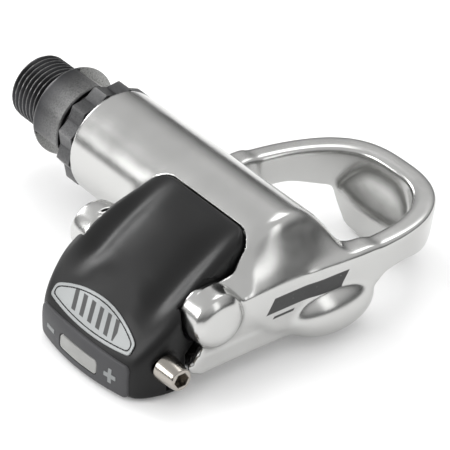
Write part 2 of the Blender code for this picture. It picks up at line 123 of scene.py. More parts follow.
# Deck, loop and lip
DECK_BOTTOM, DECK_TOP, DECK_REAR, DECK_FRONT = -13.0, -9.6, -23.6, 13.0
DECK_HALF, DECK_CORNER_HALF = 19.2, 15.0
LOOP_CENTRE_Y, LOOP_SKEW = 10.0, 1.3
LOOP_OUTER, LOOP_INNER, LOOP_POWER = (21.8, 32.5), (17.2, 28.0), 2.7
LIP_BOTTOM, LIP_REAR = low("pedal_body").z, 33.0
LIP_DROP, PONTOON_DROP = 3.6, 4.0  # how far the lip and the pontoons may hang below the deck

# Claw pivot
PIVOT_Y, PIVOT_Z = -19.0, -1.8
LUG_RADIUS, LUG_GAP, LUG_INSIDE = 5.8, 0.4, 15.1
BOSS_RADIUS, OUTER_BOSS_REACH, INNER_BOSS_REACH = 5.5, 22.1, 20.9
PIN_RADIUS, PIN_GAP, PIN_REACH, PIN_HEAD_ROOM = 2.0, 0.3, 18.6, 3.5
BUSHING_ROOM, BUSHING_REACH = 3.25, 16.0

# Claw
CLAW_EDGE_RADIUS, CLAW_CORNER = 16.5, 4.5  # the front edge is turned about the pivot
POCKET_GAP, POCKET_FLOOR, POCKET_BOTTOM = 0.18, 8.3, -3.5
CLAW_FRONT_Y, CLAW_FRONT_Z, CLAW_FRONT_HALF = -5.6, 10.45, 14.5
CLAW_HALF, CLAW_FLARE = 14.4, 3.2
ROOF_FALL, ROOF_BEND = 0.2, 0.0148
VALLEY_HALF, VALLEY_WIDTH = 10.6, 3.1  # how far each valley lies from the middle plane
VALLEY_DEPTH, VALLEY_GAIN = 0.6, 0.9
CLAW_SWING, CLAW_WALL = 1.6, 0.9
WING_BOTTOM, WING_INSIDE = 4.0, 15.25  # the claw overhangs each lug above this height
CLAW_BOTTOM = low("claw_shell").z
CLAW_BACK, BACK_BEND = -37.3, 0.009
CAVITY_HALF = 12.1

# Strip, window, marks and badge on the claw's back
STRIP_Z, STRIP_HALF = -12.9, (13.9, 3.5)
WINDOW_Z, WINDOW_HALF, WINDOW_GAP = -13.3, (5.9, 1.5), 0.15
MINUS_X, PLUS_X = -9.5, 9.7
BADGE_Y, BADGE_Z, BADGE_TILT = -32.5, -5.5, math.radians(43.2)
BADGE_HALF = 12.8

# Tension screw
SCREW_Y, SCREW_Z, SCREW_RADIUS = -29.6, -9.5, 1.75
SCREW_END, SCREW_HEAD_START, SCREW_HEAD_END = -14.4, 17.6, high("tension_screw").x - CENTRE
SCREW_SOCKET, SCREW_HEAD_RADIUS, SCREW_HEAD_ROOM = 2.8, 2.8, 3.25

# Spindle and lock nut
THREAD_RADIUS, THREAD_PITCH, THREAD_DEPTH, THREAD_END = 7.145, 1.27, 0.72, 11.1
THREAD_STEP = 0.085  # between the mesh's rings
NECK_DEPTH = 0.8
COLLAR_RADIUS, COLLAR_END, WRENCH_FLATS = 9.7, 20.3, 15.0
JOURNAL_RADIUS = 7.0
INSIDE_SHAFT = [(32.5, 6.0), (46.5, 6.0), (50.0, 4.2), (65.7, 4.2), (65.7, 3.35), (77.4, 3.35),
                (77.4, 3.0), (80.3, 3.0), (80.6, 2.7), (80.6, 0.0)]  # each an x and a radius
NUT_START, NUT_END, NUT_RADIUS, NUT_TOOTH, NUT_POINTS = 21.7, 26.6, 11.4, 1.1, 12
NUT_SLEEVE_END, NUT_SLEEVE_RADIUS, NUT_BORE = 32.4, 9.2, 7.5

# Printed bar and line on each flank: places along it and up it
PRINT_SLANT, PRINT_SIDE = 0.6, (19.0, 23.0)
BAR_ALONG, BAR_UP = (-4.9, 12.6), (-5.4, -2.0)
LINE_ALONG, LINE_UP = (-2.4, 2.6), (-6.9, -6.2)

# Camera
AZIMUTH, ELEVATION, DISTANCE = 52.7, 34.3, 0.69
AIM_OFFSET = Vector((0.00883, 0.0050, -0.00565))  # from the middle of the CAD box, in metres
LENS = 279.2
FLOOR_HALF, FLOOR_GAP = 3.0, 0.0002


# ---------------------------------------------------------------- fields


def smooth_min(a, b, width):
    """The union of two fields, with a fillet."""
    near = np.maximum(width - np.abs(a - b), 0.0) / width
    return np.minimum(a, b) - width * near**3 / 6.0


def smooth_max(a, b, width=0.8):
    """The overlap of two fields, with a rounded edge."""
    return -smooth_min(-a, -b, width)


def cut(a, b, width=0.8):
    """Field a with field b taken out of it."""
    return smooth_max(a, -b, width)


def step(value, start, end):
    """A smooth step from 0 at start to 1 at end."""
    t = np.clip((value - start) / (end - start), 0.0, 1.0)
    return t * t * (3.0 - 2.0 * t)


def about(y, z, centre=(PIVOT_Y, PIVOT_Z)):
    """The distance from a line parallel to X."""
    return np.hypot(y - centre[0], z - centre[1])


def outline_field(a, b, points):
    """The distance to a closed outline in a plane, below zero inside it."""
    nearest, inside = np.inf, False
    for (ax, ay), (bx, by) in zip(points, points[1:] + points[:1]):
        ex, ey = bx - ax, by - ay
        px, py = a - ax, b - ay
        t = np.clip((px * ex + py * ey) / (ex * ex + ey * ey), 0.0, 1.0)
        nearest = np.minimum(nearest, (px - t * ex) ** 2 + (py - t * ey) ** 2)
        if ay != by:
            crosses = ((ay > b) != (by > b)) & (px < ex * (b - ay) / (by - ay))
            inside = inside ^ crosses
    return np.where(inside, -1.0, 1.0) * np.sqrt(nearest)


def round_corner(first, second, radius):
    """The solid inside both fields, its corner turned on a radius."""
    one, other = first + radius, second + radius
    outside = np.hypot(np.maximum(one, 0.0), np.maximum(other, 0.0))
    return np.minimum(np.maximum(one, other), 0.0) + outside - radius


def rounded_box(a, b, half_a, half_b, radius):
    """The distance to a rectangle with rounded corners."""
    return round_corner(np.abs(a) - half_a, np.abs(b) - half_b, radius)


def ellipsoid_field(x, y, z, centre, radii):
    """Near enough the distance to an ellipsoid."""
    scaled = [(p - c) / r for p, c, r in zip((x, y, z), centre, radii)]
    size = np.sqrt(sum(s * s for s in scaled))
    slope = np.sqrt(sum((s / r) ** 2 for s, r in zip(scaled, radii)))
    return size * (size - 1.0) / np.maximum(slope, 1e-6)


def slope_of(field, points, reach):
    """The gradient of a field at many points."""
    columns = []
    for axis in range(3):
        offset = np.zeros(3)
        offset[axis] = reach
        ahead, behind = (points + offset).T, (points - offset).T
        columns.append((field(*ahead) - field(*behind)) / (2 * reach))
    return np.stack(columns, axis=1)


def mesh_from_field(name, field, low_corner, high_corner, spacing):
    """A mesh of a field's surface, with normals from the field."""
    low_corner = np.array(low_corner, float)
    axes = [np.arange(a, b + spacing, spacing) for a, b in zip(low_corner, high_corner)]
    x, y, z = np.meshgrid(*axes, indexing="ij", sparse=True)
    shape = tuple(len(a) for a in axes)
    values = np.ascontiguousarray(np.broadcast_to(field(x, y, z), shape), np.float32)
    grid = openvdb.FloatGrid(10.0)
    grid.copyFromArray(values)
    grid.transform = openvdb.createLinearTransform(voxelSize=spacing)
    points, quads = grid.convertToQuads(isovalue=0.0)
    points = points.astype(float) + low_corner
    for _ in range(4):
        slope = slope_of(field, points, 0.02)
        size = np.maximum((slope * slope).sum(1), 0.05)
        move = slope * (field(*points.T) / size)[:, None]
        points -= np.clip(move, -spacing, spacing)
    normals = slope_of(field, points, 0.3 * spacing)
    normals /= np.maximum(np.linalg.norm(normals, axis=1), 1e-9)[:, None]
    mesh = bpy.data.meshes.new(name)
    mesh.from_pydata((points * MM).tolist(), [], quads.tolist())
    mesh.shade_smooth()
    mesh.normals_split_custom_set_from_vertices(normals.tolist())
    return link(name, mesh)


def link(name, mesh):
    """A new object in the scene."""
    made = bpy.data.objects.new(name, mesh)
    bpy.context.scene.collection.objects.link(made)
    return made


# ---------------------------------------------------------------- body


def loop_distance(across, y, half_width, reach):
    """The distance to the loop's rounded outline. Behind its centre the sides run straight back."""
    ahead = np.maximum(y - LOOP_CENTRE_Y, 0.0)
    size = ((across / half_width) ** LOOP_POWER + (ahead / reach) ** LOOP_POWER) ** (1 / LOOP_POWER)
    return (size - 1.0) * np.hypot(across, ahead) / np.maximum(size, 1e-3)


def tube_field(x, y, z):
    """The tube, whose outer end slopes down to the flank's face."""
    lean = (WEB_HEIGHT + TUBE_RISE * np.exp(-((y / TUBE_SPREAD) ** 2))) / SLOPE_RUN
    slope = (z - lean * (SLOPE_FOOT + CENTRE - x)) / np.sqrt(1.0 + lean * lean)
    tube = smooth_max(np.hypot(y, z) - TUBE_RADIUS, slope, 2.5)
    tube = smooth_max(tube, x - TUBE_END, 2.0)
    return smooth_max(tube, TUBE_START - x, 0.9)


def cheek_height(y):
    """How high the web between the tube and each boss stands beside the claw."""
    web = WEB_HEIGHT * step(y, -24.5, -17.0) * (1.0 - step(y, 8.0, 16.0))
    return web + CHEEK_RISE * np.exp(-((y / CHEEK_SPREAD) ** 2))


def flank_field(across, y, z):
    """The beam down one side. Its top slopes up to the tube and to the claw's pivot."""
    outer_half = FLANK_REAR_HALF + (FLANK_FRONT_HALF - FLANK_REAR_HALF) * step(y, -16.0, 12.0)
    inner_half = FLANK_INNER + 1.8 * step(y, 8.0, 18.0)
    lean = cheek_height(y) / SLOPE_RUN
    rim = RIM_TOP - 0.7 * step(y, 4.0, 12.0)
    top = (z - np.maximum(lean * (SLOPE_FOOT - across), rim)) / np.sqrt(1.0 + lean * lean)
    beam = smooth_max(top, DECK_BOTTOM - z, 1.6)
    rear = FLANK_BACK + TAIL_LENGTH * step(across, CLAW_SIDE, CLAW_SIDE + 0.8)
    beam = smooth_max(beam, smooth_max(y - FLANK_FRONT, -rear - y, 2.0), 3.0)
    beside = np.maximum(outline_field(y, z, CLAW_NOTCH), across - CLAW_SIDE)
    beam = cut(cut(beam, beside, 0.8), outline_field(y, z, REAR_NOTCH), 1.5)
    beam = smooth_min(beam, about(y, z) - LUG_RADIUS + 0.6, 2.0)
    outer_half = outer_half - FLANK_DRAFT * step(z, -3.0, -12.0)
    return smooth_max(beam, smooth_max(across - outer_half, inner_half - across, 1.6), 1.2)


def boss_field(x, y, z):
    """The round-ended boss that holds the claw's pin. The inner one is shorter."""
    across = np.abs(x - CENTRE)
    reach = np.where(x > CENTRE, OUTER_BOSS_REACH, INNER_BOSS_REACH)
    dome = smooth_max(about(y, z, (PIVOT_Y, PIVOT_Z - 0.3)) - BOSS_RADIUS, across - reach, 5.0)
    return smooth_max(dome, FLANK_INNER - across, 0.6)


def pontoon_field(across, y, z):
    """The bulge under each flank."""
    return ellipsoid_field(across, y, z, PONTOON_MIDDLE, PONTOON_RADII)


def loop_field(x, y, z):
    """The loop's band, a little skewed. Its underside climbs between the pontoon and the nose."""
    across = np.abs(x - CENTRE - LOOP_SKEW * step(y, 14.0, 34.0))
    lean = np.clip(-z, 0.0, 16.0) / 16.0
    tuck = 0.9 * (1.0 - step(y, 5.0, 17.0)) + 2.5 * lean * step(y, 18.0, 30.0)
    outer = loop_distance(across, y, LOOP_OUTER[0] - tuck, LOOP_OUTER[1] - 1.8 * lean)
    inner = loop_distance(across, y, LOOP_INNER[0] - 1.2 * lean, LOOP_INNER[1])
    band = smooth_max(outer, -inner, 1.6)
    floor = -12.6 + 5.4 * step(y, 11.0, 22.0) - 2.0 * step(y, 24.0, 34.0)
    band = smooth_max(band, z - RIM_TOP, 2.2)
    band = smooth_max(band, floor - z, 2.4)
    return smooth_max(band, 3.0 - y, 5.0)


def lip_field(across, y, z):
    """The beak under the nose that holds the front of a cleat."""
    half_width = np.interp(z, (LIP_BOTTOM, -15.5, -12.0, -9.0, -6.0), (7.6, 9.4, 13.0, 15.6, 17.0))
    reach = np.interp(z, (LIP_BOTTOM, -12.0, -6.0), (29.9, 31.3, 32.0))
    lip = loop_distance(across, y, half_width, reach)
    rear = LIP_REAR + 0.006 * across * across
    lip = smooth_max(lip, rear - y, 1.2)
    top = np.minimum(-9.3 + 1.5 * (y - LIP_REAR - 0.4), -2.2)
    lip = smooth_max(lip, (z - top) / 1.8, 1.2)
    return smooth_max(lip, LIP_BOTTOM - z, 2.0)


def deck_field(across, y, z):
    """The plate between the flanks that the cleat stands on."""
    outline = [(-1, DECK_REAR), (DECK_CORNER_HALF, DECK_REAR), (DECK_HALF, DECK_REAR + 1.2),
               (DECK_HALF, DECK_FRONT - 1.0), (DECK_CORNER_HALF, DECK_FRONT), (-1, DECK_FRONT)]
    deck = outline_field(across, y, outline)
    middle = (DECK_BOTTOM + DECK_TOP) / 2
    return smooth_max(deck, np.abs(z - middle) - (DECK_TOP - DECK_BOTTOM) / 2, 0.8)


def pocket_field(x, y, z):
    """The room that the claw's front edge swings through."""
    across = np.abs(x - CENTRE) - CLAW_FRONT_HALF - POCKET_GAP
    pocket = round_corner(about(y, z) - CLAW_EDGE_RADIUS - POCKET_GAP, across, CLAW_CORNER)
    pocket = np.maximum(pocket, POCKET_FLOOR - np.hypot(y, z))
    return np.maximum(pocket, POCKET_BOTTOM - z)


def bore_field(x, y, z):
    """The bore for the needle shell, stepping down to the ball races."""
    narrowed = np.clip((x - BORE_STEP) / BORE_STEP_LENGTH, 0.0, 1.0)
    radius = BORE_WIDE + (BORE_NARROW - BORE_WIDE) * narrowed
    return np.maximum(np.hypot(y, z) - radius, x - BORE_END)


def body_field(x, y, z):
    """The whole casting, with its bore, the claw's room and the pin's hole cut out."""
    across = np.abs(x - CENTRE)
    body = smooth_min(tube_field(x, y, z), flank_field(across, y, z), 3.0)
    body = smooth_min(body, boss_field(x, y, z), 2.0)
    body = smooth_min(body, loop_field(x, y, z), 3.0)
    body = smooth_min(body, lip_field(across, y, z), 2.0)
    body = smooth_min(body, deck_field(across, y, z), 2.0)
    body = smooth_min(body, pontoon_field(across, y, z), 1.6)
    below = LIP_DROP * step(y, 24.0, 34.0) + PONTOON_DROP * step(across, 15.6, 17.4)
    body = smooth_max(body, DECK_BOTTOM - below - z, 0.6)
    body = cut(body, bore_field(x, y, z))
    body = cut(body, pocket_field(x, y, z), 0.4)
    beside_claw = np.maximum(claw_skin(x, y, z) - 0.4, 3.3 - z)
    body = cut(body, np.maximum(beside_claw, TUBE_RADIUS + 1.1 - np.hypot(y, z)), 0.4)
    pin_hole = np.maximum(about(y, z) - PIN_RADIUS - PIN_GAP, x - CENTRE - PIN_REACH)
    head_room = np.maximum(about(y, z) - PIN_HEAD_ROOM, x - CENTRE + PIN_REACH)
    return cut(cut(body, pin_hole, 0.3), head_room, 0.5)


def add_body():
    corner, opposite = low("pedal_body") - MARGIN, high("pedal_body") + MARGIN
    body = mesh_from_field("pedal_body_look", body_field, corner, opposite, BODY_SPACING)
    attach(body, "pedal")
    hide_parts("pedal_body")
    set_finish(body, "polished_aluminium")


# ---------------------------------------------------------------- claw


def claw_roof(across, y):
    """The height of the claw's roof, with a broad ridge between two valleys."""
    back = CLAW_FRONT_Y - y
    roof = CLAW_FRONT_Z - ROOF_FALL * back - ROOF_BEND * back * back
    depth = (VALLEY_DEPTH + VALLEY_GAIN * step(y, -7.0, -17.0)) * step(y, -32.0, -23.0)
    valley = np.exp(-(((across - VALLEY_HALF) / VALLEY_WIDTH) ** 2))
    crown = 0.6 * np.exp(-((across / 7.0) ** 2)) * step(y, -9.0, -17.0) * step(y, -31.0, -22.0)
    shoulder = 0.5 * np.exp(-(((across - 7.0) / 4.5) ** 2))
    shoulder = shoulder * step(y, -24.0, -28.0) * step(y, -34.0, -30.0)
    return roof - depth * valley + crown + shoulder


def claw_half_width(y):
    """The claw widens behind the tube and draws in again at the back."""
    rear = np.maximum(-27.0 - y, 0.0)
    return CLAW_HALF + CLAW_FLARE * step(y, -8.0, -29.0) - 0.06 * rear**1.8


def back_depth(across):
    """How far back the claw's rounded rear reaches."""
    return CLAW_BACK + BACK_BEND * across * across


def claw_skin(x, y, z):
    """The claw's outer shape, before it is hollowed."""
    across = np.abs(x - CENTRE)
    slope = ROOF_FALL + 2 * ROOF_BEND * np.clip(CLAW_FRONT_Y - y, 0.0, 31.0)
    roof = (z - claw_roof(across, y)) / np.sqrt(1.0 + slope * slope)
    back = back_depth(across) - y
    sides = across - claw_half_width(y)
    skin = smooth_max(roof, smooth_max(sides, back, 2.8), 4.2)
    skin = smooth_max(skin, CLAW_BOTTOM + 0.3 - z, 2.2)
    front = np.where(y > -16.0, about(y, z) - CLAW_EDGE_RADIUS, -6.0)
    return smooth_max(skin, round_corner(front, sides, CLAW_CORNER), 0.6)


UNDER_CLAW = [(-25.9, -20.0), (-25.9, -17.0), (-25.2, -16.3), (-25.4, -15.5), (-29.0, -15.5),
              (-29.0, -13.0), (-24.4, -13.0), (-24.4, -9.0), (-21.0, -8.4), (-15.2, -8.3),
              (-12.6, -4.0), (-11.0, 0.0), (-6.0, 5.0), (6.0, 5.0), (6.0, -20.0)]
CAVITY = [(-7.0, 6.0), (-9.4, 8.0), (-13.2, 6.5), (-18.4, 3.9), (-23.6, 0.4), (-28.2, -4.0),
          (-31.8, -7.4), (-34.0, -10.0), (-34.4, -12.0), (-34.2, -13.9), (-30.8, -13.9),
          (-30.6, -12.2), (-23.0, -12.2), (-23.0, -20.0), (0.0, -20.0), (0.0, 0.0)]
FLANK_ROOM = [(-16.0, -4.0), (-16.0, -20.0), (-24.0, -20.0), (-24.0, -9.0), (-23.0, -8.0)]


def window_opening(x, z, radius):
    half_width, half_height = WINDOW_HALF
    return rounded_box(x - CENTRE, z - WINDOW_Z, half_width + WINDOW_GAP, half_height + WINDOW_GAP, radius)


def claw_field(x, y, z):
    """The claw's skin, with room cut out for the tube, lugs, flanks, springs, pin and screw."""
    across = np.abs(x - CENTRE)
    from_spindle = np.hypot(y, z)
    skin = claw_skin(x, y, z)
    claw = cut(skin, outline_field(y, z, UNDER_CLAW), 0.6)
    claw = cut(claw, from_spindle - POCKET_FLOOR - 2.25, 0.5)
    beside_tube = np.maximum(from_spindle - TUBE_RADIUS - CLAW_SWING, CLAW_FRONT_HALF + 0.1 - across)
    claw = cut(claw, beside_tube, 0.5)
    claw = cut(claw, np.maximum(about(y, z) - LUG_RADIUS - LUG_GAP, LUG_INSIDE - across), 0.5)
    claw = cut(claw, np.maximum(outline_field(y, z, FLANK_ROOM), LUG_INSIDE - across), 0.5)
    under_wing = np.maximum(np.maximum(PIVOT_Y + 0.3 - y, z - WING_BOTTOM), WING_INSIDE - across)
    claw = cut(claw, under_wing, 0.4)
    cavity = np.maximum(outline_field(y, z, CAVITY), across - CAVITY_HALF)
    claw = cut(claw, np.maximum(cavity, skin + CLAW_WALL), 0.5)
    claw = cut(claw, np.maximum(about(y, z) - BUSHING_ROOM, across - BUSHING_REACH), 0.4)
    from_screw = about(y, z, (SCREW_Y, SCREW_Z))
    claw = cut(claw, np.maximum(from_screw - SCREW_RADIUS - 0.25, CENTRE + SCREW_END - 0.4 - x), 0.4)
    claw = cut(claw, np.maximum(from_screw - SCREW_HEAD_ROOM, CENTRE + SCREW_HEAD_START - 0.3 - x), 0.5)
    return cut(claw, np.maximum(window_opening(x, z, 0.9), y + 33.0), 0.4)


def add_claw():
    corner, opposite = low("claw_shell") - MARGIN, high("claw_shell") + MARGIN
    claw = mesh_from_field("claw_shell_look", claw_field, corner, opposite, CLAW_SPACING)
    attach(claw, "claw")
    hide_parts("claw_shell")
    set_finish(claw, "black_composite")


# ---------------------------------------------------------------- strip, marks, window and badge


def skin_plate(x, y, z, face, height, half_thickness, edge):
    """A plate of one thickness that follows the claw's skin, some height above it."""
    return smooth_max(face, np.abs(claw_skin(x, y, z) - height) - half_thickness, edge)


def bezel_field(x, y, z):
    face = rounded_box(x - CENTRE, z - STRIP_Z, *STRIP_HALF, 1.2)
    return cut(skin_plate(x, y, z, face, 0.12, 0.3, 0.3), window_opening(x, z, 1.0), 0.3)


def window_field(x, y, z):
    face = rounded_box(x - CENTRE, z - WINDOW_Z, *WINDOW_HALF, 0.9)
    return skin_plate(x, y, z, face, -0.1, 0.45, 0.3)


def minus_field(x, y, z):
    face = rounded_box(x - CENTRE - MINUS_X, z - STRIP_Z, 1.45, 0.42, 0.15)
    return skin_plate(x, y, z, face, 0.44, 0.07, 0.08)


def plus_field(x, y, z):
    across, up = x - CENTRE - PLUS_X, z - STRIP_Z
    face = np.minimum(rounded_box(across, up, 1.55, 0.46, 0.12), rounded_box(across, up, 0.46, 1.55, 0.12))
    return skin_plate(x, y, z, face, 0.44, 0.07, 0.08)


def badge_place(x, y, z):
    """A point across and up the badge's slope."""
    up = (y - BADGE_Y) * math.cos(BADGE_TILT) + (z - BADGE_Z) * math.sin(BADGE_TILT)
    return x - CENTRE, up


def lens_field(across, up):
    """The badge's outline: a high arc above a shallow one, with blunt ends."""
    top = np.hypot(across, up + 23.0) - 26.0
    bottom = np.hypot(across, up - 54.0) - 58.3
    return smooth_max(smooth_max(top, bottom, 0.6), np.abs(across) - BADGE_HALF, 1.2)


def badge_field(x, y, z):
    return skin_plate(x, y, z, lens_field(*badge_place(x, y, z)), 0.16, 0.13, 0.12)


def badge_line_field(x, y, z):
    """A thin dark line just inside the badge's edge."""
    face = np.abs(lens_field(*badge_place(x, y, z)) + 0.75) - 0.14
    return skin_plate(x, y, z, face, 0.3, 0.05, 0.06)


def add_field_piece(name, field, corner, opposite, spacing, slot, node=None):
    piece = mesh_from_field(name, field, corner, opposite, spacing)
    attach(piece, "claw")
    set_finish(piece, slot)
    if node:
        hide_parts(node)


def add_claw_fittings():
    corner, opposite = (CENTRE - 15.0, -39.0, -17.2), (CENTRE + 15.0, -33.8, -8.6)
    add_field_piece("indicator_bezel_look", bezel_field, corner, opposite, 0.16, "grey_composite",
                    "indicator_bezel")
    add_field_piece("indicator_window_look", window_field, (CENTRE - 6.6, -38.4, -15.4),
                    (CENTRE + 6.6, -35.6, -11.2), 0.12, "clear_plastic", "indicator_window")
    add_field_piece("mark_minus", minus_field, (CENTRE - 11.4, -38.8, -13.8), (CENTRE - 7.6, -34.5, -12.0),
                    0.06, "silver_foil")
    add_field_piece("mark_plus", plus_field, (CENTRE + 7.6, -38.8, -15.0), (CENTRE + 11.8, -34.5, -10.8),
                    0.06, "silver_foil")
    corner, opposite = (CENTRE - 14.5, -37.5, -11.0), (CENTRE + 14.5, -28.5, -1.0)
    add_field_piece("badge_look", badge_field, corner, opposite, 0.15, "silver_foil", "badge")
    add_field_piece("badge_line", badge_line_field, corner, opposite, 0.1, "black_composite")


# ---------------------------------------------------------------- turned pieces


def lathe(name, rows, segments, centre=(0.0, 0.0), sharp=28.0):
    """A closed solid turned about a line parallel to X. Each row is an x and its radius all round."""
    turns = np.arange(segments) * 2 * math.pi / segments
    points, rings, faces = [], [], []
    for x, radius in rows:
        radii = np.broadcast_to(radius(turns) if callable(radius) else radius, segments)
        if radii.max() < 1e-6:
            rings.append([len(points)] * segments)
            points.append((x, *centre))
            continue
        rings.append(list(range(len(points), len(points) + segments)))
        points += [(x, centre[0] + r * math.cos(t), centre[1] + r * math.sin(t))
                   for r, t in zip(radii, turns)]
    for before, after in zip(rings, rings[1:]):
        for i in range(segments):
            j = (i + 1) % segments
            corners = [before[i], before[j], after[j], after[i]]
            faces.append([v for k, v in enumerate(corners) if v not in corners[:k]])
    mesh = bpy.data.meshes.new(name)
    mesh.from_pydata((np.array(points) * MM).tolist(), [], faces)
    mesh.shade_smooth()
    mesh.set_sharp_from_angle(angle=math.radians(sharp))
    return link(name, mesh)


def thread_radius(x):
    """A left-hand thread's radius all round, at one place along it."""
    def radii(turns):
        phase = (x / THREAD_PITCH + turns / (2 * math.pi)) % 1.0
        wave = np.clip(1.35 * np.abs(2 * phase - 1) - 0.15, 0.0, 1.0)
        runout = min(max((THREAD_END - 1.0 - x) / 0.8, 0.0), 1.0)
        depth = np.maximum(THREAD_DEPTH * (1 - wave) * runout, max(0.0, 0.8 - x))
        return THREAD_RADIUS - depth - (1 - runout) * NECK_DEPTH
    return radii


def collar_radius(radius):
    """The collar's radius all round, where the two wrench flats cut it."""
    def radii(turns):
        reach = np.abs(np.cos(turns - math.pi / 4))
        return np.minimum(radius, WRENCH_FLATS / 2 / np.maximum(reach, 0.1))
    return radii


def star_radius(outer, inner, points):
    """A ring of straight-sided teeth."""
    def radii(turns):
        sector = math.pi / points
        place = (turns - sector / 2) / sector
        index = np.floor(place).astype(int)
        past = (place - index) * sector
        first = np.where(index % 2 == 0, outer, inner)
        second = np.where(index % 2 == 0, inner, outer)
        return first * second * math.sin(sector) / (first * np.sin(past) + second * np.sin(sector - past))
    return radii


def hexagon_radius(across_flats):
    """A hexagon's radius all round."""
    def radii(turns):
        return across_flats / 2 / np.cos((turns % (math.pi / 3)) - math.pi / 6)
    return radii


def add_spindle():
    rows = [(1.3, 0.0), (0.9, 0.7), (0.0, 1.5)]
    rows += [(x, thread_radius(x)) for x in np.arange(0.0, THREAD_END - 0.2, THREAD_STEP)]
    rows += [(THREAD_END, THREAD_RADIUS - NECK_DEPTH), (THREAD_END, COLLAR_RADIUS - 1.0),
             (THREAD_END + 0.12, COLLAR_RADIUS - 0.8), (THREAD_END + 0.85, COLLAR_RADIUS - 0.1),
             (THREAD_END + 1.1, COLLAR_RADIUS), (THREAD_END + 1.5, COLLAR_RADIUS),
             (THREAD_END + 1.55, collar_radius(COLLAR_RADIUS)),
             (COLLAR_END - 0.3, collar_radius(COLLAR_RADIUS)),
             (COLLAR_END, collar_radius(COLLAR_RADIUS - 0.3)), (COLLAR_END, JOURNAL_RADIUS),
             (32.0, JOURNAL_RADIUS)]
    rows += INSIDE_SHAFT
    spindle = lathe("spindle_look", rows, 192)
    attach(spindle, "spindle")
    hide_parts("spindle")
    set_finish(spindle, "black_steel")


def add_lock_nut():
    teeth = star_radius(NUT_RADIUS, NUT_RADIUS - NUT_TOOTH, NUT_POINTS)
    chamfer = star_radius(NUT_RADIUS - 0.5, NUT_RADIUS - NUT_TOOTH - 0.5, NUT_POINTS)
    end = star_radius(NUT_RADIUS - 0.15, NUT_RADIUS - 1.2, NUT_POINTS)
    rows = [(NUT_START, NUT_BORE), (NUT_START, NUT_SLEEVE_RADIUS), (NUT_START + 0.25, chamfer),
            (NUT_START + 0.8, teeth), (NUT_END - 0.15, teeth), (NUT_END, end),
            (NUT_END, NUT_SLEEVE_RADIUS), (NUT_SLEEVE_END, NUT_SLEEVE_RADIUS), (NUT_SLEEVE_END, NUT_BORE),
            (NUT_START, NUT_BORE)]
    nut = lathe("lock_nut_look", rows, NUT_POINTS * 12, sharp=14.0)
    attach(nut, "pedal")
    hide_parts("lock_nut")
    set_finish(nut, "black_alloy")


def add_tension_screw():
    """A tapered head with a hexagon socket, on a plain shank across the claw."""
    start, end = CENTRE + SCREW_HEAD_START, CENTRE + SCREW_HEAD_END
    rows = [(CENTRE + SCREW_END, 0.0), (CENTRE + SCREW_END, SCREW_RADIUS - 0.3),
            (CENTRE + SCREW_END + 0.3, SCREW_RADIUS)]
    rows += [(start, SCREW_RADIUS), (start, SCREW_HEAD_RADIUS - 0.15), (start + 0.15, SCREW_HEAD_RADIUS),
             (start + 0.8, SCREW_HEAD_RADIUS), (end - 0.55, 2.32), (end - 0.25, 2.26),
             (end - 0.06, 2.16), (end, 2.04)]
    socket = hexagon_radius(SCREW_SOCKET)
    rows += [(end, hexagon_radius(SCREW_SOCKET + 0.16)), (end - 0.1, socket), (end - 2.5, socket),
             (end - 2.9, 0.0)]
    screw = lathe("tension_screw_look", rows, 96, (SCREW_Y, SCREW_Z))
    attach(screw, "tension_screw")
    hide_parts("tension_screw")
    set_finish(screw, "steel")


# ---------------------------------------------------------------- finishes


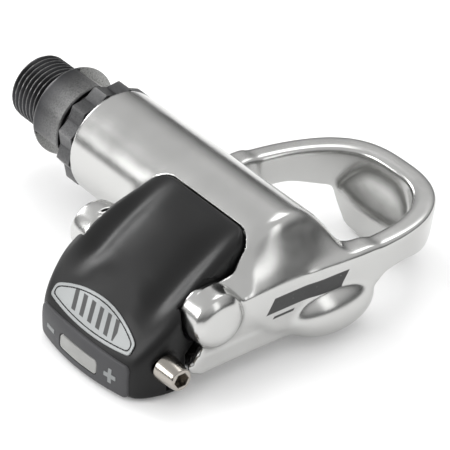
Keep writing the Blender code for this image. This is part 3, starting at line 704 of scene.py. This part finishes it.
class Finish:
    """A procedural material, built up from small groups of nodes."""

    def __init__(self, name):
        self.material = bpy.data.materials.new(name)
        self.material.use_nodes = True
        self.nodes = self.material.node_tree.nodes
        self.links = self.material.node_tree.links
        self.shader = self.nodes["Principled BSDF"]
        self.place = self.add("ShaderNodeTexCoord").outputs["Object"]

    def add(self, kind, **settings):
        node = self.nodes.new(kind)
        for key, value in settings.items():
            setattr(node, key, value)
        return node

    def feed(self, socket, value):
        """Link a node's output to a socket, or set the socket to a number or a colour."""
        if isinstance(value, bpy.types.NodeSocket):
            self.links.new(value, socket)
        else:
            socket.default_value = value

    def stretched(self, scale):
        """The place, scaled along each axis."""
        node = self.add("ShaderNodeMapping")
        self.feed(node.inputs["Vector"], self.place)
        node.inputs["Scale"].default_value = scale
        return node.outputs["Vector"]

    def noise(self, size, detail=3.0, stretch=(1.0, 1.0, 1.0)):
        """Noise whose spots are about so many millimetres across."""
        node = self.add("ShaderNodeTexNoise")
        self.feed(node.inputs["Vector"], self.stretched(stretch))
        node.inputs["Scale"].default_value = 1.0 / (size * MM)
        node.inputs["Detail"].default_value = detail
        return node.outputs["Fac"]

    def ranged(self, value, start, end, low_value, high_value):
        """Bring a value from one range to another, held at its ends."""
        node = self.add("ShaderNodeMapRange")
        self.feed(node.inputs["Value"], value)
        for key, number in zip(("From Min", "From Max", "To Min", "To Max"),
                               (start, end, low_value, high_value)):
            node.inputs[key].default_value = number
        return node.outputs["Result"]

    def maths(self, operation, a, b=0.0):
        node = self.add("ShaderNodeMath", operation=operation)
        self.feed(node.inputs[0], a)
        self.feed(node.inputs[1], b)
        return node.outputs[0]

    def mixed(self, share, a, b):
        node = self.add("ShaderNodeMix", data_type="RGBA")
        self.feed(node.inputs["Factor"], share)
        for socket, colour in zip((node.inputs[6], node.inputs[7]), (a, b)):
            self.feed(socket, colour if isinstance(colour, bpy.types.NodeSocket) else (*colour, 1.0))
        return node.outputs[2]

    def coordinates(self):
        """The place in millimetres, as three numbers."""
        node = self.add("ShaderNodeSeparateXYZ")
        self.feed(node.inputs[0], self.place)
        return [self.maths("DIVIDE", part, MM) for part in node.outputs]

    def between(self, value, start, end):
        """1 where a value lies in a range, with soft edges, and 0 elsewhere."""
        rise = self.ranged(value, start, start + 0.12, 0.0, 1.0)
        fall = self.ranged(value, end - 0.12, end, 1.0, 0.0)
        return self.maths("MULTIPLY", rise, fall)

    def print_over(self, ink, colour, roughness):
        """Lay ink over the finish, slightly worn through."""
        worn = self.maths("MULTIPLY", ink, self.ranged(self.noise(0.5, 3.0), 0.2, 0.3, 0.7, 1.0))
        tone = self.shader.inputs["Base Color"].links[0].from_socket
        rough = self.shader.inputs["Roughness"].links[0].from_socket
        self.feed(self.shader.inputs["Base Color"], self.mixed(worn, tone, colour))
        share = self.maths("SUBTRACT", 1.0, worn)
        self.feed(self.shader.inputs["Metallic"], share)
        kept = self.maths("MULTIPLY", rough, share)
        self.feed(self.shader.inputs["Roughness"],
                  self.maths("ADD", kept, self.maths("MULTIPLY", worn, roughness)))

    def edges(self, start, end):
        """How far a place is on a raised edge, where handling wears the finish."""
        pointed = self.add("ShaderNodeNewGeometry").outputs["Pointiness"]
        return self.ranged(pointed, start, end, 0.0, 1.0)

    def bumps(self, *heights):
        """Stack bumps, each a height and its depth in millimetres."""
        normal = None
        for height, depth in heights:
            node = self.add("ShaderNodeBump")
            self.feed(node.inputs["Height"], height)
            node.inputs["Strength"].default_value = 1.0
            node.inputs["Distance"].default_value = depth * MM
            if normal:
                self.feed(node.inputs["Normal"], normal)
            normal = node.outputs["Normal"]
        self.feed(self.shader.inputs["Normal"], normal)

    def set(self, **values):
        """Set or link the shader's sockets, named with _ for a space."""
        for key, value in values.items():
            self.feed(self.shader.inputs[key.replace("_", " ")], value)


def shade(colour, share):
    """A colour made darker or lighter."""
    return tuple(c * share for c in colour)


def metal(name, colour, roughness, spread=0.05, grain=0.004, streak=(1.0, 1.0, 1.0), worn=None):
    """Bare or coated metal with faint clouding, fine marks, and edges worn to another colour."""
    made = Finish(name)
    clouds = made.noise(7.0, 3.0)
    marks = made.noise(0.35, 2.0, streak)
    tone = made.mixed(clouds, shade(colour, 0.93), shade(colour, 1.06))
    rough = made.maths("ADD", made.ranged(clouds, 0.3, 0.7, roughness - spread, roughness + spread),
                       made.ranged(marks, 0.3, 0.7, -0.3 * spread, 0.3 * spread))
    if worn:
        edge = made.maths("MULTIPLY", made.edges(0.515, 0.60), made.ranged(marks, 0.25, 0.6, 0.4, 1.0))
        tone = made.mixed(edge, tone, worn)
    made.set(Base_Color=tone, Roughness=rough, Metallic=1.0)
    made.bumps((marks, grain))
    return made


def plastic(name, colour, roughness, grain_size, grain, edge_gain=1.6):
    """Moulded plastic with a spark-eroded grain, faint clouding and lighter rubbed edges."""
    made = Finish(name)
    clouds = made.noise(9.0, 4.0)
    fine = made.noise(grain_size, 2.0)
    tone = made.mixed(clouds, shade(colour, 0.88), shade(colour, 1.14))
    tone = made.mixed(made.edges(0.52, 0.62), tone, shade(colour, edge_gain))
    rough = made.maths("ADD", made.ranged(clouds, 0.3, 0.7, roughness - 0.04, roughness + 0.04),
                       made.ranged(fine, 0.3, 0.7, -0.03, 0.03))
    made.set(Base_Color=tone, Roughness=rough, Metallic=0.0)
    made.shader.inputs["Specular IOR Level"].default_value = 0.3
    made.bumps((made.noise(3.0, 2.0), grain), (fine, grain))
    return made


def polished_aluminium():
    """Buffed aluminium: soft clouding and fine marks, with a plain printed bar and line on each flank."""
    made = metal("polished aluminium", (0.56, 0.56, 0.55), 0.225, 0.03, 0.0012, (0.25, 1.0, 1.0))
    x, y, z = made.coordinates()
    across = made.maths("ABSOLUTE", made.maths("SUBTRACT", x, CENTRE))
    along = made.maths("SUBTRACT", y, made.maths("MULTIPLY", z, PRINT_SLANT))
    outside = made.between(across, *PRINT_SIDE)
    bar = made.maths("MULTIPLY", made.between(along, *BAR_ALONG), made.between(z, *BAR_UP))
    line = made.maths("MULTIPLY", made.between(along, *LINE_ALONG), made.between(z, *LINE_UP))
    ink = made.maths("MULTIPLY", outside, made.maths("MAXIMUM", bar, line))
    made.print_over(ink, (0.03, 0.03, 0.03), 0.35)
    return made.material


def silver_foil():
    """Brushed silver film with a few plain slanted bars."""
    made = metal("silver foil", (0.3, 0.31, 0.31), 0.5, 0.05, 0.004, (0.1, 1.0, 1.0))
    x, y, z = made.coordinates()
    up = made.maths("ADD", made.maths("MULTIPLY", y, math.cos(BADGE_TILT)),
                    made.maths("MULTIPLY", z, math.sin(BADGE_TILT)))
    middle = BADGE_Y * math.cos(BADGE_TILT) + BADGE_Z * math.sin(BADGE_TILT)
    slant = made.maths("ADD", made.maths("SUBTRACT", x, CENTRE),
                       made.maths("MULTIPLY", made.maths("SUBTRACT", up, middle), 0.45))
    bars = made.between(made.maths("PINGPONG", slant, 1.3), 0.62, 9.0)
    ink = made.maths("MULTIPLY", bars, made.between(made.maths("SUBTRACT", up, middle), -2.6, 1.4))
    ink = made.maths("MULTIPLY", ink, made.between(made.maths("SUBTRACT", x, CENTRE), -7.5, 7.5))
    made.print_over(made.maths("MULTIPLY", ink, made.between(z, -9.4, 0.0)), (0.035, 0.035, 0.035), 0.45)
    return made.material


def finishes():
    """A material for each of the record's slots."""
    return {
        "polished_aluminium": polished_aluminium(),
        "black_steel": metal("blackened steel", (0.055, 0.055, 0.058), 0.36, 0.05, 0.004,
                             worn=(0.42, 0.42, 0.41)).material,
        "black_alloy": metal("black anodised alloy", (0.05, 0.05, 0.053), 0.33, 0.04, 0.003,
                             worn=(0.2, 0.2, 0.2)).material,
        "black_rubber": plastic("black rubber", (0.012, 0.012, 0.012), 0.7, 0.3, 0.01).material,
        "black_composite": plastic("black composite", (0.006, 0.006, 0.0062), 0.4, 0.22, 0.006).material,
        "grey_composite": plastic("dark grey composite", (0.055, 0.055, 0.058), 0.46, 0.2, 0.006).material,
        "nut_plastic": plastic("indicator plastic", (0.5, 0.49, 0.46), 0.4, 0.9, 0.003, 1.1).material,
        "silver_foil": silver_foil(),
        "steel": metal("turned steel", (0.4, 0.375, 0.34), 0.23, 0.03, 0.003, (1.0, 0.2, 0.2)).material,
        "bearing_steel": metal("bearing steel", (0.6, 0.6, 0.6), 0.14, 0.03, 0.001).material,
        "spring_steel": metal("spring steel", (0.2, 0.2, 0.21), 0.34, 0.06, 0.004).material,
        "bronze": metal("bronze", (0.5, 0.33, 0.15), 0.38, 0.06, 0.004).material,
        "clear_plastic": clear_plastic(),
    }


def clear_plastic():
    """A pale, partly clear moulding."""
    made = Finish("clear plastic")
    clouds = made.noise(3.0, 2.0)
    made.set(Base_Color=made.mixed(clouds, (0.4, 0.4, 0.385), (0.48, 0.48, 0.465)),
             Roughness=made.ranged(clouds, 0.3, 0.7, 0.03, 0.07), IOR=1.5)
    made.shader.inputs["Transmission Weight"].default_value = 0.35
    made.bumps((clouds, 0.004))
    return made.material


def paint_everything():
    """Give the carried-over CAD nodes, and then each new piece, the finish of its slot."""
    looks = finishes()
    slots = {part["node"]: part["material_slot"] for part in frame["record"]["subparts"]}
    for node, piece in frame["nodes"].items():
        piece.data.materials.clear()
        piece.data.materials.append(looks[slots[node]])
    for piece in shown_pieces():
        if "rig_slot" in piece:
            piece.data.materials.clear()
            piece.data.materials.append(looks[piece["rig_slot"]])


# ---------------------------------------------------------------- floor, light and camera


def add_floor():
    mesh = bpy.data.meshes.new("floor")
    height = cad_low.z - FLOOR_GAP
    corners = [(x * FLOOR_HALF, y * FLOOR_HALF, height) for x, y in ((-1, -1), (1, -1), (1, 1), (-1, 1))]
    mesh.from_pydata(corners, [], [(0, 1, 2, 3)])
    floor = link("floor", mesh)
    made = Finish("pale floor")
    made.set(Base_Color=made.mixed(made.noise(60.0, 2.0), (0.93, 0.93, 0.93), (0.95, 0.95, 0.95)),
             Roughness=0.9)
    mesh.materials.append(made.material)
    floor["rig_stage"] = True


def add_light(name, direction, distance, size, power, reflected=True):
    """A soft panel that looks at the object from one direction. An unreflected one casts no shadow."""
    data = bpy.data.lights.new(name, "AREA")
    data.shape = "RECTANGLE"
    data.size, data.size_y = size
    data.energy = power
    lamp = bpy.data.objects.new(name, data)
    lamp.visible_glossy = reflected
    data.use_shadow = reflected
    bpy.context.scene.collection.objects.link(lamp)
    toward = Vector(direction).normalized()
    lamp.location = (cad_low + cad_high) / 2 + toward * distance
    lamp.rotation_euler = (-toward).to_track_quat("-Z", "Y").to_euler()


def add_world():
    """A pale room above, dark below the horizon."""
    world = bpy.data.worlds.new("studio")
    world.use_nodes = True
    nodes, links = world.node_tree.nodes, world.node_tree.links
    place = nodes.new("ShaderNodeTexCoord").outputs["Generated"]
    split = nodes.new("ShaderNodeSeparateXYZ")
    links.new(place, split.inputs[0])
    ramp = nodes.new("ShaderNodeValToRGB")
    links.new(split.outputs["Z"], ramp.inputs[0])
    stops = ((0.0, 0.03), (0.12, 0.08), (0.34, 0.45), (0.62, 0.75), (1.0, 0.75))
    while len(ramp.color_ramp.elements) < len(stops):
        ramp.color_ramp.elements.new(0.5)
    for element, (place_up, tone) in zip(ramp.color_ramp.elements, stops):
        element.position = place_up
        element.color = (tone, tone, tone, 1.0)
    background = nodes["Background"]
    links.new(ramp.outputs["Color"], background.inputs["Color"])
    background.inputs["Strength"].default_value = 1.0
    bpy.context.scene.world = world


def add_camera():
    data = bpy.data.cameras.new("camera")
    data.lens = LENS
    data.clip_start, data.clip_end = 0.01, 20.0
    camera = bpy.data.objects.new("camera", data)
    bpy.context.scene.collection.objects.link(camera)
    turn, tilt = math.radians(AZIMUTH), math.radians(ELEVATION)
    back = Vector((math.sin(turn) * math.cos(tilt), -math.cos(turn) * math.cos(tilt), math.sin(tilt)))
    aim = (cad_low + cad_high) / 2 + AIM_OFFSET
    camera.location = aim + back * DISTANCE
    camera.rotation_euler = (-back).to_track_quat("-Z", "Y").to_euler()
    bpy.context.scene.camera = camera


def light_the_scene():
    add_floor()
    add_world()
    add_light("floor wash", (0.0, 0.0, 1.0), 1.1, (1.6, 1.6), 7.0, reflected=False)
    add_light("overhead panel", (-0.3, 0.5, 1.0), 0.8, (0.35, 0.5), 1.2)
    add_light("left panel", (-1.0, -0.15, 0.42), 0.8, (0.35, 0.3), 2.2)
    add_light("rear panel", (-0.5, -1.0, 0.5), 0.8, (0.4, 0.3), 2.4)
    add_light("right panel", (1.0, 0.2, 0.5), 0.9, (0.25, 0.5), 0.5)
    bpy.context.scene.view_settings.view_transform = "Standard"


add_camera()
light_the_scene()
add_body()
add_claw()
add_claw_fittings()
add_spindle()
add_lock_nut()
add_tension_screw()
paint_everything()
